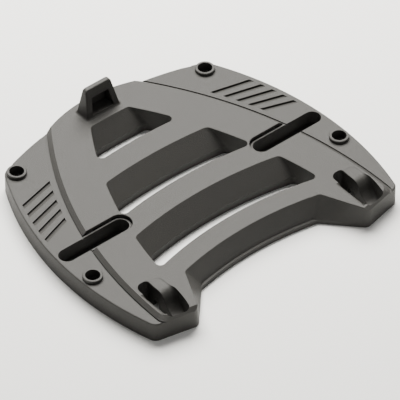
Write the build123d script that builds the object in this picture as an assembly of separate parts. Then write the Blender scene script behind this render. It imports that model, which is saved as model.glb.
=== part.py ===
from build123d import *
import os
from math import atan2, cos, degrees, radians, sqrt, tan

# Top case mounting plate: one injection moulding in glass-filled nylon.
# All sizes are in millimetres. While the plate is drawn, X runs across it,
# Y runs from the front hooks to the rear catch with 0 on the line of the two
# rear bolt bosses, and Z is up with 0 on the face that the plate rests on.

# Heights
WING_HEIGHT = 21.0          # top of the two side wings
PANEL_RAISE = 3.3           # raised centre panel above the wings
PANEL_SLOPE = 37.0          # degrees, flank of the raised panel
WALL = 3.0                  # moulded wall and skin
RIB = 2.0                   # stiffening ribs on the hidden side
RIB_PITCH = 33.0
RIB_SETBACK = 1.0           # ribs stop short of the rest face
PANEL_SKIN_STEP = 4.5       # the hidden hollow deepens this far inside the foot

# Outline seen from above
PLATE_WIDTH = 334.0
SIDE_RADIUS = 335.0
WIDEST_Y = -149.0
WING_REAR_Y = 32.6          # where the arc of both wings would cross the centre line
WING_REAR_RADIUS = 357.0
CROWN_Y = 39.3              # rear edge of the centre panel
CROWN_RADIUS = 149.0
CROWN_HALF_WIDTH = 57.0
CROWN_BLEND = 8.0
REAR_CORNER_RADIUS = 12.5
FRONT_TIP_INSET = 61.0      # inner front corner of a leg, from the widest point
FRONT_TIP_Y = -259.4
FRONT_ANGLE = 12.0          # degrees, front face of a leg
FRONT_CORNER_RADIUS = 9.0
TIP_RADIUS = 7.0
RIM_ROUND = 1.5             # rounded upper edge of the wings
PANEL_ROUND = 0.7           # rounded upper edges of the openings, bay and crown
POCKET_ROUND = 0.6

# Raised panel and the shadow groove round its foot
FOOT_RADIUS = 457.0
FOOT_INSET = 23.0           # from the plate's widest point
FOOT_WIDEST_Y = -237.5
FOOT_CORNER_RADIUS = 8.0
PANEL_CORNER_RADIUS = 10.0  # the same corner at the panel's top
GROOVE_WIDTH = 1.6
GROOVE_DEPTH = 1.2

# Arc openings and the front bay share one centre
ARC_CENTRE_Y = -560.0
OPENING_REARS = (4.3, -64.5, -135.8)    # rear edges on the centre line
OPENING_LENGTHS = (42.0, 43.9, 45.1)    # rear edge to front edge
OPENING_SLOPE_RUNS = (16.5, 18.5, 18.5)  # how far each rear wall slopes forward
OPENING_LAND = 8.5          # upright foot of each rear wall
OPENING_DRAFT = 1.5         # the ends close in by this much
OPENING_END_RADIUS = 475.0
OPENING_END_X = 104.6
OPENING_END_Y = -262.0
OPENING_REAR_CORNER = 6.0
OPENING_FRONT_CORNER = 5.0
SLOPE_WALL = 4.0            # level thickness of the sloping walls
BAY_Y = -202.8              # front edge of the panel on the centre line
BAY_SLOPE_RUN = 10.7
BAY_LEDGE = 2.5
BAY_LEDGE_HEIGHT = 5.0
BAY_CORNER = 6.0
LEG_TOP_ANGLE = 24.7        # degrees, inner side of a leg at the top
LEG_FOOT_ANGLE = 43.0       # and at the foot
BAY_REACH = 40.0            # how far the bay is cut past the legs

# Four bolt bosses
REAR_BOSS_INSET = 13.3      # from the side of the plate
FRONT_BOSS_INSET = 12.5     # from the plate's widest point
FRONT_BOSS_Y = -160.8
BOSS_RADIUS = 9.9
BOSS_RAISE = 3.2
BOSS_EDGE = 0.6
COUNTERBORE_RADIUS = 7.35
COUNTERBORE_DEPTH = 8.5
BOLT_RADIUS = 4.25
BOSS_FLOOR = 4.0
BOSS_CORE_RADIUS = 6.5

# Two long slots for clamping bolts
SLOT_Y = -121.5
SLOT_INNER_X = 88.7         # centre of the inner rounded end
SLOT_OUTER_INSET = 13.2     # centre of the outer one, from the plate's widest point
SLOT_RADIUS = 8.75
SLOT_LEDGE = 3.0            # ledge round the slot at wing height
SLOT_BOLT_RADIUS = 4.25
SLOT_FLOOR = 4.0

# Louvre recesses in the wings
LOUVRES = 5
LOUVRE_INNER_Y = -28.4
LOUVRE_INNER_PITCH = 12.5
LOUVRE_OUTER_Y = -38.9
LOUVRE_OUTER_PITCH = 12.8
LOUVRE_INNER_GAP = 6.8      # from the foot of the raised panel
LOUVRE_OUTER_GAP = 5.2      # from the outline
LOUVRE_DEPTH = 2.3
LOUVRE_RUN = 5.0            # the floor rises to the surface over this length

# Two hooks at the front: a pocket through the leg and a scooped tongue beside it
HOOK_INSET = 45.0           # from the plate's widest point
HOOK_OFFSET = 1.8           # both hooks sit this far to one side
HOOK_WIDTH = 29.8
HOOK_REAR_Y = -199.0
HOOK_RIM = 2.2              # wall left in front of the pocket
HOOK_REAR_CORNER = 8.0
HOOK_POCKET_CORNER = 4.5    # front corner on the pocket's side
HOOK_TONGUE_CORNER = 6.0    # front corner on the tongue's side
HOOK_SIDE_RADIUS = 131.0    # the side beside the tongue is a long arc
HOOK_SIDE_Y = -213.0        # where that arc is widest
LEAD_IN_Y = -212.0          # in front of this the pocket's outer edge is rounded
LEAD_IN_RUN = 9.0           # the round deepens over this length
LEAD_IN_RADIUS = 4.0
TONGUE_WIDTH = 15.2
TONGUE_EDGE = 0.8           # rounded edge beside the pocket
TONGUE_BLEND = 4.0          # round where the scoop meets the wall
TONGUE_SHOULDER_Y = -211.0  # from here the tongue bends down
TONGUE_SHOULDER_DROP = 0.5
TONGUE_NOSE_Y = -220.4
TONGUE_NOSE_DROP = 1.5
TONGUE_BROW_Y = -225.2
TONGUE_BROW_DROP = 6.2
TONGUE_SLOPE_Y = -228.4
TONGUE_SLOPE_HEIGHT = 12.3
TONGUE_CURVE_Y = -232.8
TONGUE_CURVE_HEIGHT = 8.2
TONGUE_FLOOR_Y = -241.0
TONGUE_FLOOR = 5.2
TONGUE_SKIN = 3.2
ARCH_Y = -214.0             # small arch under the tongue
ARCH_LENGTH = 8.0
ARCH_HEIGHT = 6.8

# Catch block at the rear
CATCH_HEIGHT = 54.5
CATCH_FRONT_Y = 12.0
CATCH_REAR_Y = 30.0
CATCH_TOP_FRONT_Y = 20.6
CATCH_TOP_REAR_Y = 26.0
CATCH_WIDTH = 41.0
CATCH_TOP_WIDTH = 31.0
CATCH_CORNER = 4.0
CATCH_EDGE = 1.5
CATCH_FOOT = 3.0
WINDOW_SILL = 2.8           # above the panel
WINDOW_HEIGHT = 18.0
WINDOW_WIDTH = 27.0
WINDOW_TOP_WIDTH = 20.5
WINDOW_BACK = 3.0

PANEL_HEIGHT = WING_HEIGHT + PANEL_RAISE
BOSS_HEIGHT = WING_HEIGHT + BOSS_RAISE
SKIN_HEIGHT = WING_HEIGHT - WALL
HALF_WIDTH = PLATE_WIDTH / 2
FRONT_TIP_X = HALF_WIDTH - FRONT_TIP_INSET
FOOT_WIDEST_X = HALF_WIDTH - FOOT_INSET
FRONT_BOSS_X = HALF_WIDTH - FRONT_BOSS_INSET
SLOT_OUTER_X = HALF_WIDTH - SLOT_OUTER_INSET
HOOK_X = HALF_WIDTH - HOOK_INSET
REAR_BOSS_X = HALF_WIDTH - SIDE_RADIUS + sqrt(SIDE_RADIUS ** 2 - WIDEST_Y ** 2) - REAR_BOSS_INSET
MARGIN = 2.0                # how far a cutter passes a face
REACH = 2 * PLATE_WIDTH


def at(x, y, shape):
    return Pos(x, y) * shape


def both(shape):
    """the shape and its mirror image across the centre line"""
    return shape + mirror(shape, about=Plane.YZ)


def prism(face, low, high):
    return extrude(Pos(0, 0, low) * face, amount=high - low)


def between(low_face, low, high_face, high):
    """straight walls from one outline to another"""
    return loft([Pos(0, 0, low) * low_face, Pos(0, 0, high) * high_face], ruled=True)


def lens(widest_x, widest_y, radius):
    """area inside two mirrored arcs that are widest at one point"""
    right = at(widest_x - radius, widest_y, Circle(radius))
    return right & mirror(right, about=Plane.YZ)


def lens_x(widest_x, widest_y, radius, y):
    """half-width of that area at one place along the plate"""
    return widest_x - radius + sqrt(radius ** 2 - (y - widest_y) ** 2)


def front_field(setback=0):
    """area behind the front faces of both legs"""
    slope = tan(radians(FRONT_ANGLE))
    centre_y = FRONT_TIP_Y - slope * FRONT_TIP_X + setback / cos(radians(FRONT_ANGLE))
    return make_face(Polyline(
        (0, centre_y), (REACH, centre_y + slope * REACH), (REACH, REACH),
        (-REACH, REACH), (-REACH, centre_y + slope * REACH), close=True))


def corners(sketch, near_x, near_y, count=2):
    """the corners nearest to a point or to its mirror image"""
    return sketch.vertices().sort_by(
        lambda v: (abs(v.X) - near_x) ** 2 + (v.Y - near_y) ** 2)[:count]


def outline(inset=0):
    """the plate seen from above, before the bay is cut"""
    sides = lens(HALF_WIDTH - inset, WIDEST_Y, SIDE_RADIUS - inset)
    wings = at(0, WING_REAR_Y - WING_REAR_RADIUS, Circle(WING_REAR_RADIUS - inset))
    crown = at(0, CROWN_Y - CROWN_RADIUS, Circle(CROWN_RADIUS - inset))
    face = (sides & wings & front_field(inset)) + (crown & sides)
    face = fillet(corners(face, CROWN_HALF_WIDTH, CROWN_Y), CROWN_BLEND + inset)
    face = fillet(corners(face, REAR_BOSS_X, 0), REAR_CORNER_RADIUS - inset)
    return fillet(corners(face, HALF_WIDTH, FRONT_TIP_Y), FRONT_CORNER_RADIUS - inset)


def panel_foot(inset=0, corner=FOOT_CORNER_RADIUS):
    """the foot of the raised panel, carried on past the rear edge"""
    face = lens(FOOT_WIDEST_X - inset, FOOT_WIDEST_Y, FOOT_RADIUS - inset) & front_field(inset)
    return fillet(corners(face, FOOT_WIDEST_X, FRONT_TIP_Y), corner - inset)


def opening_face(index, run, draft, grow):
    """outline of one arc opening"""
    rear = OPENING_REARS[index] - ARC_CENTRE_Y
    front = rear - OPENING_LENGTHS[index] - grow
    rear = rear - run + grow
    band = at(0, ARC_CENTRE_Y, Circle(rear) - Circle(front))
    narrow = draft - grow
    face = band & lens(OPENING_END_X - narrow, OPENING_END_Y, OPENING_END_RADIUS - narrow)
    by_distance = face.vertices().sort_by(lambda v: v.X ** 2 + (v.Y - ARC_CENTRE_Y) ** 2)
    face = fillet(by_distance[2:], OPENING_REAR_CORNER + grow)
    by_distance = face.vertices().sort_by(lambda v: v.X ** 2 + (v.Y - ARC_CENTRE_Y) ** 2)
    return fillet(by_distance[:2], OPENING_FRONT_CORNER + grow)


def opening(index, grow=0):
    """an arc opening whose rear wall slopes forward on the way down"""
    top = opening_face(index, 0, 0, grow)
    foot = opening_face(index, OPENING_SLOPE_RUNS[index], OPENING_DRAFT, grow)
    return (between(foot, OPENING_LAND, top, PANEL_HEIGHT)
            + prism(foot, -MARGIN, OPENING_LAND)
            + prism(top, PANEL_HEIGHT, PANEL_HEIGHT + MARGIN))


def bay_face(angle, run, grow):
    """outline of the bay between the legs, with the tip of each leg rounded"""
    lean = tan(radians(angle))
    slope = tan(radians(FRONT_ANGLE))
    level = grow / cos(radians(FRONT_ANGLE))
    tip_x = FRONT_TIP_X + (grow / cos(radians(angle)) - lean * level) / (1 + lean * slope)
    tip_y = FRONT_TIP_Y + slope * (tip_x - FRONT_TIP_X) + level
    past_x = tip_x + BAY_CORNER
    past_y = tip_y + slope * BAY_CORNER
    front_y = FRONT_TIP_Y - BAY_REACH
    rear_y = BAY_Y + BAY_REACH
    rear_x = tip_x - lean * (rear_y - tip_y)
    face = make_face(Polyline(
        (-past_x, front_y), (past_x, front_y), (past_x, past_y), (tip_x, tip_y), (rear_x, rear_y),
        (-rear_x, rear_y), (-tip_x, tip_y), (-past_x, past_y), close=True))
    disc = at(0, ARC_CENTRE_Y, Circle(BAY_Y - ARC_CENTRE_Y - run + grow))
    face = face - (at(0, rear_y, Rectangle(REACH, REACH)) & front_field() - disc)
    face = fillet(corners(face, 0, BAY_Y), BAY_CORNER + grow)
    return fillet(corners(face, tip_x, tip_y), max(TIP_RADIUS - grow, RIB / 2))


def bay(grow=0):
    """the bay between the legs, with a ledge at the foot of its sloping wall"""
    top = bay_face(LEG_TOP_ANGLE, 0, grow)
    foot = bay_face(LEG_FOOT_ANGLE, BAY_SLOPE_RUN, grow)
    ledge = bay_face(LEG_FOOT_ANGLE, BAY_SLOPE_RUN + BAY_LEDGE, grow)
    return (between(foot, BAY_LEDGE_HEIGHT, top, PANEL_HEIGHT)
            + prism(ledge, -MARGIN, BAY_LEDGE_HEIGHT)
            + prism(top, PANEL_HEIGHT, PANEL_HEIGHT + MARGIN))


def slot_face(radius):
    length = SLOT_OUTER_X - SLOT_INNER_X
    right = at((SLOT_INNER_X + SLOT_OUTER_X) / 2, SLOT_Y, SlotCenterToCenter(length, 2 * radius))
    return both(right)


def boss_faces(radius):
    right = at(REAR_BOSS_X, 0, Circle(radius)) + at(FRONT_BOSS_X, FRONT_BOSS_Y, Circle(radius))
    return both(right)


def hook_face(centre_x, grow=0):
    """outline of one hook pocket, its front wall parallel to the front face"""
    left_x = centre_x - HOOK_WIDTH / 2 - grow
    arc_x = centre_x + HOOK_WIDTH / 2 - HOOK_SIDE_RADIUS
    face = at(left_x + REACH / 2, HOOK_REAR_Y + grow - REACH / 2, Rectangle(REACH, REACH))
    face &= at(arc_x, HOOK_SIDE_Y, Circle(HOOK_SIDE_RADIUS + grow))
    face &= front_field(HOOK_RIM - grow)
    face = fillet(face.vertices().sort_by(Axis.Y)[2:], HOOK_REAR_CORNER + grow)
    front = face.vertices().sort_by(Axis.Y)[:2].sort_by(Axis.X)
    face = fillet(front[0], HOOK_POCKET_CORNER + grow)
    front = face.vertices().sort_by(Axis.Y)[:3].sort_by(Axis.X)
    return fillet(front[-1], HOOK_TONGUE_CORNER + grow)


def tongue(centre_x):
    """scooped tongue along one side of a hook pocket"""
    rear = (HOOK_REAR_Y + WALL, PANEL_HEIGHT)
    root = (HOOK_REAR_Y, PANEL_HEIGHT)
    shoulder = (TONGUE_SHOULDER_Y, PANEL_HEIGHT - TONGUE_SHOULDER_DROP)
    nose = (TONGUE_NOSE_Y, PANEL_HEIGHT - TONGUE_NOSE_DROP)
    brow = (TONGUE_BROW_Y, PANEL_HEIGHT - TONGUE_BROW_DROP)
    slope = (TONGUE_SLOPE_Y, TONGUE_SLOPE_HEIGHT)
    curve = (TONGUE_CURVE_Y, TONGUE_CURVE_HEIGHT)
    floor = (TONGUE_FLOOR_Y, TONGUE_FLOOR)
    front_y = FRONT_TIP_Y - MARGIN
    arch_front = ARCH_Y - ARCH_LENGTH / 2
    arch_rear = ARCH_Y + ARCH_LENGTH / 2
    under = Polyline(
        floor, (front_y, TONGUE_FLOOR), (front_y, TONGUE_FLOOR - WALL),
        (TONGUE_CURVE_Y, TONGUE_FLOOR - WALL), (TONGUE_SLOPE_Y, 0), (arch_front, 0),
        (arch_front, ARCH_HEIGHT), (arch_rear, ARCH_HEIGHT), (arch_rear, 0), (rear[0], 0), rear, root)
    sheet = Spline(root, shoulder, nose, brow, slope, curve, floor, tangents=[(-1, 0), (-1, 0)])
    side = Plane.YZ * make_face(sheet + under)
    left = centre_x + HOOK_WIDTH / 2 - TONGUE_WIDTH
    solid = extrude(Pos(left, 0, 0) * side, amount=TONGUE_WIDTH + WALL)
    beside_pocket = solid.edges().filter_by_position(Axis.X, left, left)
    solid = fillet(beside_pocket.sort_by(SortBy.LENGTH)[-1], TONGUE_EDGE)
    inside = Plane.YZ * make_face(Polyline(
        (HOOK_REAR_Y - WALL, -MARGIN),
        (HOOK_REAR_Y - WALL, PANEL_HEIGHT - TONGUE_SHOULDER_DROP - TONGUE_SKIN),
        (TONGUE_NOSE_Y, PANEL_HEIGHT - TONGUE_NOSE_DROP - TONGUE_SKIN),
        (TONGUE_SLOPE_Y + TONGUE_SKIN, TONGUE_SLOPE_HEIGHT),
        (TONGUE_SLOPE_Y + TONGUE_SKIN, -MARGIN),
        close=True))
    return solid - extrude(Pos(left + WALL, 0, 0) * inside, amount=TONGUE_WIDTH - 2 * WALL)


def hook_cut(centre_x):
    """pocket and scoop, with a round where the scoop meets the outer wall"""
    cut = prism(hook_face(centre_x), -MARGIN, PANEL_HEIGHT + 2 * TONGUE_BLEND) - tongue(centre_x)
    low = TONGUE_FLOOR - MARGIN / 4
    side = cut.edges().filter_by_position(Axis.Z, low, PANEL_HEIGHT + MARGIN / 4)
    side = side.filter_by(lambda e: (e @ 0.5).X > centre_x + TONGUE_BLEND)
    return fillet(side.sort_by(SortBy.LENGTH)[-1], TONGUE_BLEND)


def lead_in(centre_x):
    """rounds the upper edge of a pocket on the side away from the tongue"""
    edge_x = centre_x - HOOK_WIDTH / 2
    round_x = edge_x - LEAD_IN_RADIUS
    round_z = PANEL_HEIGHT - LEAD_IN_RADIUS
    section = make_face(Polyline(
        (round_x, PANEL_HEIGHT + MARGIN), (round_x, round_z),
        (edge_x + MARGIN, round_z), (edge_x + MARGIN, PANEL_HEIGHT + MARGIN), close=True))
    section -= at(round_x, round_z, Circle(LEAD_IN_RADIUS))
    bar = extrude(Plane.XZ * section, amount=REACH, both=True)
    ramp = extrude(Plane.YZ * make_face(Polyline(
        (LEAD_IN_Y, PANEL_HEIGHT + MARGIN), (LEAD_IN_Y, PANEL_HEIGHT),
        (LEAD_IN_Y - LEAD_IN_RUN, round_z - MARGIN), (LEAD_IN_Y - REACH, round_z - MARGIN),
        (LEAD_IN_Y - REACH, PANEL_HEIGHT + MARGIN), close=True)), amount=REACH, both=True)
    behind_rim = prism(front_field(HOOK_RIM + HOOK_POCKET_CORNER), -MARGIN, PANEL_HEIGHT + MARGIN)
    return bar & ramp & behind_rim


def louvre_zone(grow=0):
    """part of the right wing that carries the louvre recesses"""
    outside = LOUVRE_OUTER_GAP - grow
    inside = LOUVRE_INNER_GAP - grow
    rear = LOUVRE_INNER_Y + grow
    front = LOUVRE_OUTER_Y - (LOUVRES - 1) * LOUVRE_OUTER_PITCH - LOUVRE_RUN - MARGIN - grow
    zone = at(HALF_WIDTH, (rear + front) / 2, Rectangle(PLATE_WIDTH, rear - front))
    zone &= lens(HALF_WIDTH - outside, WIDEST_Y, SIDE_RADIUS - outside)
    return zone - lens(FOOT_WIDEST_X + inside, FOOT_WIDEST_Y, FOOT_RADIUS + inside)


def louvres():
    """wedge-shaped recesses, deepest at the rear"""
    cuts = Part()
    for index in range(LOUVRES):
        inner_y = LOUVRE_INNER_Y - index * LOUVRE_INNER_PITCH
        outer_y = LOUVRE_OUTER_Y - index * LOUVRE_OUTER_PITCH
        inner_x = LOUVRE_INNER_GAP + lens_x(FOOT_WIDEST_X, FOOT_WIDEST_Y, FOOT_RADIUS, inner_y)
        outer_x = -LOUVRE_OUTER_GAP + lens_x(HALF_WIDTH, WIDEST_Y, SIDE_RADIUS, outer_y)
        turn = degrees(atan2(outer_y - inner_y, outer_x - inner_x))
        section = make_face(Polyline(
            (0, -LOUVRE_DEPTH), (0, MARGIN), (-LOUVRE_RUN, MARGIN), (-LOUVRE_RUN, 0), close=True))
        bar = extrude(Plane.YZ * section, amount=HALF_WIDTH, both=True)
        cuts += Pos(inner_x, inner_y, WING_HEIGHT) * Rot(0, 0, turn) * bar
    return both(cuts & prism(louvre_zone(), WING_HEIGHT - LOUVRE_DEPTH - MARGIN, PANEL_HEIGHT))


def catch_block():
    front = make_face(Polyline(
        (-CATCH_WIDTH / 2, PANEL_HEIGHT - WALL), (CATCH_WIDTH / 2, PANEL_HEIGHT - WALL),
        (CATCH_WIDTH / 2, PANEL_HEIGHT), (CATCH_TOP_WIDTH / 2, CATCH_HEIGHT),
        (-CATCH_TOP_WIDTH / 2, CATCH_HEIGHT), (-CATCH_WIDTH / 2, PANEL_HEIGHT), close=True))
    front = fillet(front.vertices().sort_by(Axis.Y)[-2:], CATCH_CORNER)
    side = make_face(Polyline(
        (CATCH_FRONT_Y, PANEL_HEIGHT - WALL), (CATCH_REAR_Y, PANEL_HEIGHT - WALL),
        (CATCH_REAR_Y, PANEL_HEIGHT), (CATCH_TOP_REAR_Y, CATCH_HEIGHT),
        (CATCH_TOP_FRONT_Y, CATCH_HEIGHT), (CATCH_FRONT_Y, PANEL_HEIGHT), close=True))
    block = (extrude(Plane.XZ * front, amount=REACH, both=True)
             & extrude(Plane.YZ * side, amount=REACH, both=True))
    above = block.edges().filter_by(lambda e: (e @ 0.5).Z > PANEL_HEIGHT + WINDOW_SILL)
    return fillet(above, CATCH_EDGE)


def catch_foot_edges(solid):
    """the line where the catch block stands on the panel"""
    near = solid.edges().filter_by_position(Axis.X, -CATCH_WIDTH / 2, CATCH_WIDTH / 2)
    near = near.filter_by_position(Axis.Y, CATCH_FRONT_Y, CATCH_REAR_Y)
    return near.filter_by_position(Axis.Z, PANEL_HEIGHT, PANEL_HEIGHT)


def catch_window():
    """blind window in the front of the catch block"""
    low = PANEL_HEIGHT + WINDOW_SILL
    high = low + WINDOW_HEIGHT
    lean = (CATCH_REAR_Y - CATCH_TOP_REAR_Y) / (CATCH_HEIGHT - PANEL_HEIGHT)
    back = CATCH_REAR_Y - WINDOW_BACK
    front = make_face(Polyline(
        (-WINDOW_WIDTH / 2, low), (WINDOW_WIDTH / 2, low),
        (WINDOW_TOP_WIDTH / 2, high), (-WINDOW_TOP_WIDTH / 2, high), close=True))
    side = make_face(Polyline(
        (CATCH_FRONT_Y - MARGIN, low), (back - lean * (low - PANEL_HEIGHT), low),
        (back - lean * (high - PANEL_HEIGHT), high), (CATCH_FRONT_Y - MARGIN, high), close=True))
    return (extrude(Plane.XZ * front, amount=REACH, both=True)
            & extrude(Plane.YZ * side, amount=REACH, both=True))


def ribs():
    """crossed ribs that stiffen the skin from beneath"""
    lattice = Part()
    tall = PANEL_HEIGHT - RIB_SETBACK
    count = int(HALF_WIDTH / RIB_PITCH)
    for index in range(-count, count + 1):
        lattice += Pos(index * RIB_PITCH, 0, RIB_SETBACK) * Box(
            RIB, REACH, tall, align=(Align.CENTER, Align.CENTER, Align.MIN))
    for y in (LOUVRE_INNER_Y / 2, FRONT_BOSS_Y):
        lattice += Pos(0, y, RIB_SETBACK) * Box(
            REACH, RIB, tall, align=(Align.CENTER, Align.CENTER, Align.MIN))
    return lattice


def top_edges(solid, test):
    """edges on the panel's top face that meet a test on their middle point"""
    level = solid.edges().filter_by_position(Axis.Z, PANEL_HEIGHT, PANEL_HEIGHT)
    return level.filter_by(lambda e: test(abs((e @ 0.5).X), (e @ 0.5).Y))


def opening_edges(solid):
    chosen = []
    for index, rear_y in enumerate(OPENING_REARS):
        front_y = rear_y - OPENING_LENGTHS[index]
        corner_drop = OPENING_END_X ** 2 / 2 / (front_y - ARC_CENTRE_Y)
        end_x = lens_x(OPENING_END_X, OPENING_END_Y, OPENING_END_RADIUS, front_y - corner_drop)
        chosen += top_edges(solid, lambda x, y: x < end_x and front_y - corner_drop < y < rear_y + MARGIN
                            and not in_pocket(x, y))
    return chosen


def in_pocket(x, y):
    """true on the outline of a slot's pocket"""
    from_slot = sqrt(max(SLOT_INNER_X - x, 0) ** 2 + (y - SLOT_Y) ** 2)
    return abs(from_slot - SLOT_RADIUS - SLOT_LEDGE) < MARGIN / 4


def slot_edges(solid):
    return top_edges(solid, in_pocket)


def bay_edges(solid):
    lean = tan(radians(LEG_TOP_ANGLE))
    return top_edges(solid, lambda x, y: y < BAY_Y + MARGIN / 2 and x < FRONT_TIP_X - MARGIN / 2
                     and x < FRONT_TIP_X + MARGIN - lean * (y - FRONT_TIP_Y))


def crown_edges(solid):
    return top_edges(solid, lambda x, y: x < CROWN_HALF_WIDTH and y > CROWN_Y - MARGIN / 2)


hook_centres = (HOOK_OFFSET - HOOK_X, HOOK_OFFSET + HOOK_X)
plate_face = outline()
foot_face = panel_foot()
pocket_face = slot_face(SLOT_RADIUS + SLOT_LEDGE)

# The wings with their rounded rim, then the raised panel
body = prism(plate_face, 0, WING_HEIGHT)
body = fillet(body.faces().sort_by(Axis.Z)[-1].edges(), RIM_ROUND)
body += prism(plate_face & foot_face, 0, WING_HEIGHT)
panel_run = PANEL_RAISE / tan(radians(PANEL_SLOPE))
panel_top = panel_foot(panel_run, PANEL_CORNER_RADIUS + panel_run)
panel = between(foot_face, WING_HEIGHT, panel_top, PANEL_HEIGHT)
panel &= prism(plate_face, WING_HEIGHT, PANEL_HEIGHT)
body += panel - prism(pocket_face, WING_HEIGHT, PANEL_HEIGHT + MARGIN)

# Bosses and catch block stand on it
boss = prism(boss_faces(BOSS_RADIUS), 0, BOSS_HEIGHT)
boss = chamfer(boss.faces().filter_by(Plane.XY).group_by(Axis.Z)[-1].edges(), BOSS_EDGE)
body += boss
body += catch_block()
body = fillet(catch_foot_edges(body), CATCH_FOOT)
body -= catch_window()

# Material that stays when the underside is hollowed
keep = bay(SLOPE_WALL)
for index in range(len(OPENING_REARS)):
    keep += opening(index, SLOPE_WALL)
keep += prism(slot_face(SLOT_RADIUS + WALL), 0, PANEL_HEIGHT)
keep += prism(boss_faces(BOSS_RADIUS), 0, PANEL_HEIGHT)
for centre_x in hook_centres:
    keep += prism(hook_face(centre_x, WALL), 0, PANEL_HEIGHT)
keep += both(prism(louvre_zone(WALL), SKIN_HEIGHT - LOUVRE_DEPTH, WING_HEIGHT))
keep += ribs()
inner_face = outline(WALL)
deep_face = inner_face & panel_foot(PANEL_SKIN_STEP)
hollow = prism(inner_face, -MARGIN, SKIN_HEIGHT) + prism(deep_face, -MARGIN, PANEL_HEIGHT - WALL)
cuts = hollow - keep

# Everything that is cut from above
cuts += bay()
for index in range(len(OPENING_REARS)):
    cuts += opening(index)
cuts += prism(slot_face(SLOT_RADIUS), SLOT_FLOOR, PANEL_HEIGHT + MARGIN)
cuts += prism(slot_face(SLOT_BOLT_RADIUS), -MARGIN, SLOT_FLOOR + MARGIN)
counterbore_floor = BOSS_HEIGHT - COUNTERBORE_DEPTH
cuts += prism(boss_faces(COUNTERBORE_RADIUS), counterbore_floor, BOSS_HEIGHT + MARGIN)
cuts += prism(boss_faces(BOLT_RADIUS), -MARGIN, BOSS_HEIGHT)
cuts += prism(boss_faces(BOSS_CORE_RADIUS), -MARGIN, counterbore_floor - BOSS_FLOOR)
for centre_x in hook_centres:
    cuts += hook_cut(centre_x)
    cuts += lead_in(centre_x)
cuts += louvres()
groove = (panel_foot(-GROOVE_WIDTH) - foot_face) & plate_face
groove += (pocket_face - slot_face(SLOT_RADIUS + SLOT_LEDGE - GROOVE_WIDTH)) & foot_face
cuts += prism(groove, WING_HEIGHT - GROOVE_DEPTH, WING_HEIGHT)
body -= cuts

# Rounded upper edges
body = fillet(opening_edges(body), PANEL_ROUND)
body = fillet(bay_edges(body), PANEL_ROUND)
body = fillet(crown_edges(body), PANEL_ROUND)
body = fillet(slot_edges(body), POCKET_ROUND)

box = body.bounding_box()
body = Pos(-(box.min.X + box.max.X) / 2, -(box.min.Y + box.max.Y) / 2, -box.min.Z) * body
plate = body.solids()[0]
plate.label = "mounting_plate"

os.makedirs("parts", exist_ok=True)
export_step(plate, "parts/mounting_plate.step")
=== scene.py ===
import math

import bpy
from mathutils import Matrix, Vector


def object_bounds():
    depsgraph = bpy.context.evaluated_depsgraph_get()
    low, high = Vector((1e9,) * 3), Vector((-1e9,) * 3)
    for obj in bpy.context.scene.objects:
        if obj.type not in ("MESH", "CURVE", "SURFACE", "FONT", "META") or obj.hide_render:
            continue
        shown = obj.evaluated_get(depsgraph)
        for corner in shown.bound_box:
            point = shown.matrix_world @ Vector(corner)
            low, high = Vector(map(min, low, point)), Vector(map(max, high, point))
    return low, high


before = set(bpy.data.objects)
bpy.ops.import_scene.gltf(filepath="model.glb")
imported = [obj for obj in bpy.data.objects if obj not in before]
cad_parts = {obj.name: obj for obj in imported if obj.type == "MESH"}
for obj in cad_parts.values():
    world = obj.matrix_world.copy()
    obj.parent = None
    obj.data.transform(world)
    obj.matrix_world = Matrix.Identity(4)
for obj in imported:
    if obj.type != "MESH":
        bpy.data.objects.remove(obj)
bounds_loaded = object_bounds()


# Plate
# Injection-moulded nylon with glass fibre, dyed dark grey, in one piece with
# its bosses, hooks and catch block.
def linear(hex_colour):
    """sRGB hex colour as linear red, green, blue and alpha 1"""
    channels = []
    for start in (0, 2, 4):
        value = int(hex_colour[start:start + 2], 16) / 255
        channels.append(value / 12.92 if value <= 0.04045 else ((value + 0.055) / 1.055) ** 2.4)
    return (*channels, 1.0)


def node(tree, kind, links=(), **values):
    """adds a shader node, sets its properties or inputs, and links (input, output socket) pairs"""
    made = tree.nodes.new(kind)
    for name, value in values.items():
        if hasattr(made, name):
            setattr(made, name, value)
        else:
            made.inputs[name.replace("_", " ")].default_value = value
    for name, socket in links:
        tree.links.new(socket, made.inputs[name])
    return made


# The mould is spark-eroded, which leaves a fine even grain on every face and
# makes the gloss broad and weak. The real grain is about 0.1 mm wide and is
# drawn 1 mm wide and 0.4 mm deep, so that it shows.
grain_width_mm = 1.0
grain_depth_mm = 0.4
nylon = bpy.data.materials.new("glass_filled_nylon_spark_eroded_mould_grain")
nylon.use_nodes = True
tree = nylon.node_tree
shader = tree.nodes["Principled BSDF"]
shader.inputs["Base Color"].default_value = linear("363533")
shader.inputs["Roughness"].default_value = 0.5
shader.inputs["IOR"].default_value = 1.53
shader.inputs["Specular IOR Level"].default_value = 0.21
place = node(tree, "ShaderNodeTexCoord")
grain = node(tree, "ShaderNodeTexNoise", [("Vector", place.outputs["Object"])],
             Scale=1000 / grain_width_mm, Detail=3.0, Roughness=0.7)
bump = node(tree, "ShaderNodeBump", [("Height", grain.outputs["Fac"])],
            Strength=1.0, Distance=grain_depth_mm / 1000)
tree.links.new(bump.outputs["Normal"], shader.inputs["Normal"])

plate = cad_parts["mounting_plate"]
plate.data.materials.clear()
plate.data.materials.append(nylon)

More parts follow.
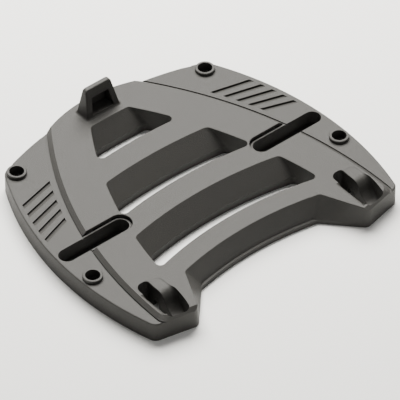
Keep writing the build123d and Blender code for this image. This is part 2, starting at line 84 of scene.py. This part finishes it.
# Floor and light
# A plain pale floor of white paper, one wide soft box overhead and behind, and
# a weak one in front that lifts the front walls.
rest_height = bounds_loaded[0][2]
bpy.ops.mesh.primitive_plane_add(size=8.0, location=(0, 0, rest_height))
floor = bpy.context.object
floor.name = "studio_floor"
paper = bpy.data.materials.new("matte_white_paper")
paper.use_nodes = True
paper_shader = paper.node_tree.nodes["Principled BSDF"]
paper_shader.inputs["Base Color"].default_value = linear("f4f4f2")
paper_shader.inputs["Roughness"].default_value = 0.9
floor.data.materials.append(paper)


def soft_box(name, location, target, width, height, power):
    """area light of a width and height in metres and a power in watts, turned to the target"""
    light = bpy.data.lights.new(name, "AREA")
    light.shape = "RECTANGLE"
    light.size = width
    light.size_y = height
    light.energy = power
    light.color = linear("fffdf8")[:3]
    lamp = bpy.data.objects.new(name, light)
    lamp.location = location
    lamp.rotation_euler = (Vector(target) - Vector(location)).to_track_quat("-Z", "Y").to_euler()
    bpy.context.scene.collection.objects.link(lamp)


soft_box("overhead", location=(0.6, 1.0, 1.5), target=(0, 0, 0), width=1.7, height=1.4, power=166)
soft_box("front_fill", location=(0.2, -1.7, 0.8), target=(0, 0, 0), width=1.2, height=1.0, power=6)

world = bpy.data.worlds.new("studio")
world.use_nodes = True
sky = world.node_tree.nodes["Background"]
sky.inputs["Color"].default_value = linear("ffffff")
sky.inputs["Strength"].default_value = 0.2
bpy.context.scene.world = world

# Camera at the photograph's angle, a long lens 5 m away, aimed near the middle
# of the plate. Its focal length is given in pixels of the photograph.
azimuth = math.radians(-39.8966)
elevation = math.radians(42.5245)
distance = 5.0916
aim = Vector((-0.00713, -0.03313, 0.021))
photo_width_px = 400
focal_length_px = 5293.2558
sensor_width_mm = 36.0
back = Vector((math.sin(azimuth) * math.cos(elevation), -math.cos(azimuth) * math.cos(elevation),
               math.sin(elevation)))
lens = bpy.data.cameras.new("camera")
lens.sensor_width = sensor_width_mm
lens.lens = focal_length_px / photo_width_px * sensor_width_mm
lens.clip_end = 50.0
camera = bpy.data.objects.new("camera", lens)
camera.location = aim + back * distance
camera.rotation_euler = back.to_track_quat("Z", "Y").to_euler()
bpy.context.scene.collection.objects.link(camera)
bpy.context.scene.camera = camera
